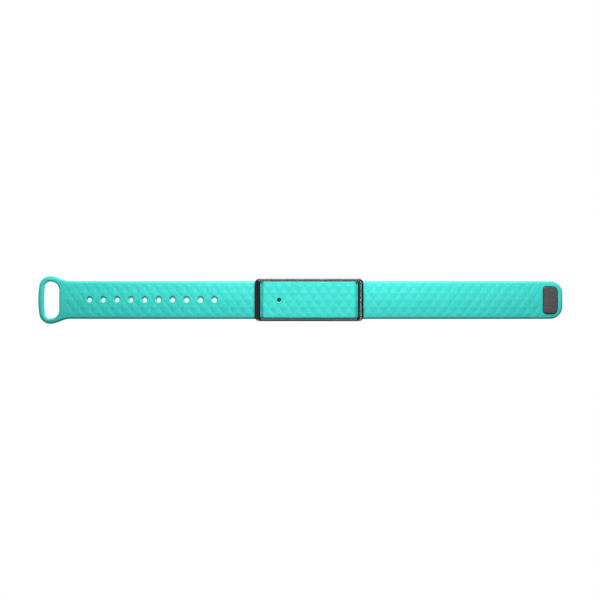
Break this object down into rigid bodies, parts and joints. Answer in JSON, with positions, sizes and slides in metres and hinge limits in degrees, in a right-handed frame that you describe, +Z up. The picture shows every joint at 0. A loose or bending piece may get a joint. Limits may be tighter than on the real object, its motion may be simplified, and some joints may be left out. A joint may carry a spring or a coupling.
{
  "type": "fitness tracker band",
  "caption": "Slim wrist fitness tracker: a flexible perforated strap with a loop at one end and a stud clasp at the other, running through a metal frame over a sealed sensor capsule.",
  "frame": {"origin": "middle of the flat back face of the capsule, which lies on the table", "axes": "+X along the strap towards the clasp, -X towards the loop, +Y across the strap, +Z up out of the capsule's back, away from the wrist"},
  "size_m": [0.2267, 0.0206, 0.0098],
  "materials": {
    "strap_tpu": "satin elastomer, teal all through, with a shallow diamond relief on the outer face",
    "dark_chrome": "polished dark metal",
    "black_plastic": "fine moulded texture",
    "seal_rubber": "soft, dull",
    "smoked_lens": "smoked, glossy",
    "steel": "bright",
    "gold_contact": "gold plated",
    "clasp_grey": "dark grey, bead blasted",
    "board_green": "solder mask over glass epoxy",
    "chip_black": "moulded epoxy",
    "ceramic": "fired ceramic",
    "battery_foil": "laminated foil pouch",
    "foam": "adhesive foam",
    "wire_red": "insulated wire",
    "wire_black": "insulated wire",
    "wire_blue": "insulated wire",
    "tungsten": "sintered heavy metal"
  },
  "bodies": {
    "capsule": {"frame": "dark_chrome", "bottom_case": "black_plastic", "top_cover": "black_plastic", "case_seal": "seal_rubber", "light_pipe": "smoked_lens", "indicator_led": "ceramic", "strap_waist": "strap_tpu", "case_screw_1": "steel", "case_screw_2": "steel", "case_screw_3": "steel", "case_screw_4": "steel", "circuit_board": "board_green", "bluetooth_chip": "chip_black", "memory_chip": "chip_black", "motion_sensor": "chip_black", "clock_crystal": "steel", "chip_antenna": "ceramic", "battery_cell": "battery_foil", "battery_pad": "foam", "battery_circuit": "board_green", "battery_lead_red": "wire_red", "battery_lead_black": "wire_black", "charge_pin_1": "gold_contact", "charge_pin_2": "gold_contact", "contact_spring_1": "gold_contact", "contact_spring_2": "gold_contact", "motor_can": "steel", "motor_cradle": "seal_rubber", "motor_lead_red": "wire_red", "motor_lead_blue": "wire_blue"},
    "motor_rotor": {"motor_shaft": "steel", "motor_weight": "tungsten"},
    "left_link_01": {"strap_left_01": "strap_tpu"},
    "left_link_02": {"strap_left_02": "strap_tpu"},
    "left_link_03": {"strap_left_03": "strap_tpu"},
    "left_link_04": {"strap_left_04": "strap_tpu"},
    "left_link_05": {"strap_left_05": "strap_tpu"},
    "left_link_06": {"strap_left_06": "strap_tpu"},
    "left_link_07": {"strap_left_07": "strap_tpu"},
    "left_link_08": {"strap_left_08": "strap_tpu"},
    "left_link_09": {"strap_left_09": "strap_tpu"},
    "left_link_10": {"strap_left_10": "strap_tpu"},
    "left_link_11": {"strap_left_11": "strap_tpu"},
    "left_link_12": {"strap_left_12": "strap_tpu"},
    "left_link_13": {"strap_left_13": "strap_tpu"},
    "right_link_01": {"strap_right_01": "strap_tpu"},
    "right_link_02": {"strap_right_02": "strap_tpu"},
    "right_link_03": {"strap_right_03": "strap_tpu"},
    "right_link_04": {"strap_right_04": "strap_tpu"},
    "right_link_05": {"strap_right_05": "strap_tpu"},
    "right_link_06": {"strap_right_06": "strap_tpu"},
    "right_link_07": {"strap_right_07": "strap_tpu"},
    "right_link_08": {"strap_right_08": "strap_tpu"},
    "right_link_09": {"strap_right_09": "strap_tpu"},
    "right_link_10": {"strap_right_10": "strap_tpu"},
    "right_link_11": {"strap_right_11": "strap_tpu"},
    "right_link_12": {"strap_right_12": "strap_tpu"},
    "right_link_13": {"strap_right_13": "strap_tpu", "clasp_plate": "clasp_grey", "clasp_stud": "clasp_grey"}
  },
  "joints": [
    {"name": "motor_spin", "type": "hinge", "parent": "capsule", "child": "motor_rotor", "pos_m": [0.013, -0.003, 0.0033], "axis": [0, 1, 0], "continuous": true},
    {"name": "left_bend_01", "type": "hinge", "parent": "capsule", "child": "left_link_01", "pos_m": [-0.0257, 0, 0.00775], "axis": [0, -1, 0], "range_deg": [-4, 13], "stiffness_Nm_per_rad": 0.038},
    {"name": "left_bend_02", "type": "hinge", "parent": "left_link_01", "child": "left_link_02", "pos_m": [-0.0317, 0, 0.00772], "axis": [0, -1, 0], "range_deg": [-4, 13], "stiffness_Nm_per_rad": 0.038},
    {"name": "left_bend_03", "type": "hinge", "parent": "left_link_02", "child": "left_link_03", "pos_m": [-0.0377, 0, 0.00763], "axis": [0, -1, 0], "range_deg": [-4, 13], "stiffness_Nm_per_rad": 0.038},
    {"name": "left_bend_04", "type": "hinge", "parent": "left_link_03", "child": "left_link_04", "pos_m": [-0.0437, 0, 0.00749], "axis": [0, -1, 0], "range_deg": [-4, 13], "stiffness_Nm_per_rad": 0.038},
    {"name": "left_bend_05", "type": "hinge", "parent": "left_link_04", "child": "left_link_05", "pos_m": [-0.0497, 0, 0.00728], "axis": [0, -1, 0], "range_deg": [-4, 13], "stiffness_Nm_per_rad": 0.038},
    {"name": "left_bend_06", "type": "hinge", "parent": "left_link_05", "child": "left_link_06", "pos_m": [-0.0557, 0, 0.00702], "axis": [0, -1, 0], "range_deg": [-4, 13], "stiffness_Nm_per_rad": 0.038},
    {"name": "left_bend_07", "type": "hinge", "parent": "left_link_06", "child": "left_link_07", "pos_m": [-0.0617, 0, 0.0067], "axis": [0, -1, 0], "range_deg": [-4, 13], "stiffness_Nm_per_rad": 0.038},
    {"name": "left_bend_08", "type": "hinge", "parent": "left_link_07", "child": "left_link_08", "pos_m": [-0.0677, 0, 0.00632], "axis": [0, -1, 0], "range_deg": [-4, 13], "stiffness_Nm_per_rad": 0.038},
    {"name": "left_bend_09", "type": "hinge", "parent": "left_link_08", "child": "left_link_09", "pos_m": [-0.0737, 0, 0.00588], "axis": [0, -1, 0], "range_deg": [-4, 13], "stiffness_Nm_per_rad": 0.038},
    {"name": "left_bend_10", "type": "hinge", "parent": "left_link_09", "child": "left_link_10", "pos_m": [-0.0797, 0, 0.00538], "axis": [0, -1, 0], "range_deg": [-4, 13], "stiffness_Nm_per_rad": 0.038},
    {"name": "left_bend_11", "type": "hinge", "parent": "left_link_10", "child": "left_link_11", "pos_m": [-0.0857, 0, 0.00483], "axis": [0, -1, 0], "range_deg": [-4, 13], "stiffness_Nm_per_rad": 0.038},
    {"name": "left_bend_12", "type": "hinge", "parent": "left_link_11", "child": "left_link_12", "pos_m": [-0.0917, 0, 0.00421], "axis": [0, -1, 0], "range_deg": [-4, 13], "stiffness_Nm_per_rad": 0.038},
    {"name": "left_bend_13", "type": "hinge", "parent": "left_link_12", "child": "left_link_13", "pos_m": [-0.0977, 0, 0.00354], "axis": [0, -1, 0], "range_deg": [-4, 13], "stiffness_Nm_per_rad": 0.038},
    {"name": "right_bend_01", "type": "hinge", "parent": "capsule", "child": "right_link_01", "pos_m": [0.0257, 0, 0.00775], "axis": [0, 1, 0], "range_deg": [-4, 13], "stiffness_Nm_per_rad": 0.038},
    {"name": "right_bend_02", "type": "hinge", "parent": "right_link_01", "child": "right_link_02", "pos_m": [0.0317, 0, 0.00773], "axis": [0, 1, 0], "range_deg": [-4, 13], "stiffness_Nm_per_rad": 0.038},
    {"name": "right_bend_03", "type": "hinge", "parent": "right_link_02", "child": "right_link_03", "pos_m": [0.0377, 0, 0.00765], "axis": [0, 1, 0], "range_deg": [-4, 13], "stiffness_Nm_per_rad": 0.038},
    {"name": "right_bend_04", "type": "hinge", "parent": "right_link_03", "child": "right_link_04", "pos_m": [0.0437, 0, 0.00753], "axis": [0, 1, 0], "range_deg": [-4, 13], "stiffness_Nm_per_rad": 0.038},
    {"name": "right_bend_05", "type": "hinge", "parent": "right_link_04", "child": "right_link_05", "pos_m": [0.0497, 0, 0.00736], "axis": [0, 1, 0], "range_deg": [-4, 13], "stiffness_Nm_per_rad": 0.038},
    {"name": "right_bend_06", "type": "hinge", "parent": "right_link_05", "child": "right_link_06", "pos_m": [0.0557, 0, 0.00714], "axis": [0, 1, 0], "range_deg": [-4, 13], "stiffness_Nm_per_rad": 0.038},
    {"name": "right_bend_07", "type": "hinge", "parent": "right_link_06", "child": "right_link_07", "pos_m": [0.0617, 0, 0.00688], "axis": [0, 1, 0], "range_deg": [-4, 13], "stiffness_Nm_per_rad": 0.038},
    {"name": "right_bend_08", "type": "hinge", "parent": "right_link_07", "child": "right_link_08", "pos_m": [0.0677, 0, 0.00656], "axis": [0, 1, 0], "range_deg": [-4, 13], "stiffness_Nm_per_rad": 0.038},
    {"name": "right_bend_09", "type": "hinge", "parent": "right_link_08", "child": "right_link_09", "pos_m": [0.0737, 0, 0.0062], "axis": [0, 1, 0], "range_deg": [-4, 13], "stiffness_Nm_per_rad": 0.038},
    {"name": "right_bend_10", "type": "hinge", "parent": "right_link_09", "child": "right_link_10", "pos_m": [0.0797, 0, 0.00579], "axis": [0, 1, 0], "range_deg": [-4, 13], "stiffness_Nm_per_rad": 0.038},
    {"name": "right_bend_11", "type": "hinge", "parent": "right_link_10", "child": "right_link_11", "pos_m": [0.0857, 0, 0.00533], "axis": [0, 1, 0], "range_deg": [-4, 13], "stiffness_Nm_per_rad": 0.038},
    {"name": "right_bend_12", "type": "hinge", "parent": "right_link_11", "child": "right_link_12", "pos_m": [0.0917, 0, 0.00482], "axis": [0, 1, 0], "range_deg": [-4, 13], "stiffness_Nm_per_rad": 0.038},
    {"name": "right_bend_13", "type": "hinge", "parent": "right_link_12", "child": "right_link_13", "pos_m": [0.0977, 0, 0.00426], "axis": [0, 1, 0], "range_deg": [-4, 13], "stiffness_Nm_per_rad": 0.038}
  ],
  "couplings": [
    {"joint": "left_bend_02", "follows": "left_bend_01", "ratio": 1},
    {"joint": "left_bend_03", "follows": "left_bend_01", "ratio": 1},
    {"joint": "left_bend_04", "follows": "left_bend_01", "ratio": 1},
    {"joint": "left_bend_05", "follows": "left_bend_01", "ratio": 1},
    {"joint": "left_bend_06", "follows": "left_bend_01", "ratio": 1},
    {"joint": "left_bend_07", "follows": "left_bend_01", "ratio": 1},
    {"joint": "left_bend_08", "follows": "left_bend_01", "ratio": 1},
    {"joint": "left_bend_09", "follows": "left_bend_01", "ratio": 1},
    {"joint": "left_bend_10", "follows": "left_bend_01", "ratio": 1},
    {"joint": "left_bend_11", "follows": "left_bend_01", "ratio": 1},
    {"joint": "left_bend_12", "follows": "left_bend_01", "ratio": 1},
    {"joint": "left_bend_13", "follows": "left_bend_01", "ratio": 1},
    {"joint": "right_bend_02", "follows": "right_bend_01", "ratio": 1},
    {"joint": "right_bend_03", "follows": "right_bend_01", "ratio": 1},
    {"joint": "right_bend_04", "follows": "right_bend_01", "ratio": 1},
    {"joint": "right_bend_05", "follows": "right_bend_01", "ratio": 1},
    {"joint": "right_bend_06", "follows": "right_bend_01", "ratio": 1},
    {"joint": "right_bend_07", "follows": "right_bend_01", "ratio": 1},
    {"joint": "right_bend_08", "follows": "right_bend_01", "ratio": 1},
    {"joint": "right_bend_09", "follows": "right_bend_01", "ratio": 1},
    {"joint": "right_bend_10", "follows": "right_bend_01", "ratio": 1},
    {"joint": "right_bend_11", "follows": "right_bend_01", "ratio": 1},
    {"joint": "right_bend_12", "follows": "right_bend_01", "ratio": 1},
    {"joint": "right_bend_13", "follows": "right_bend_01", "ratio": 1}
  ]
}
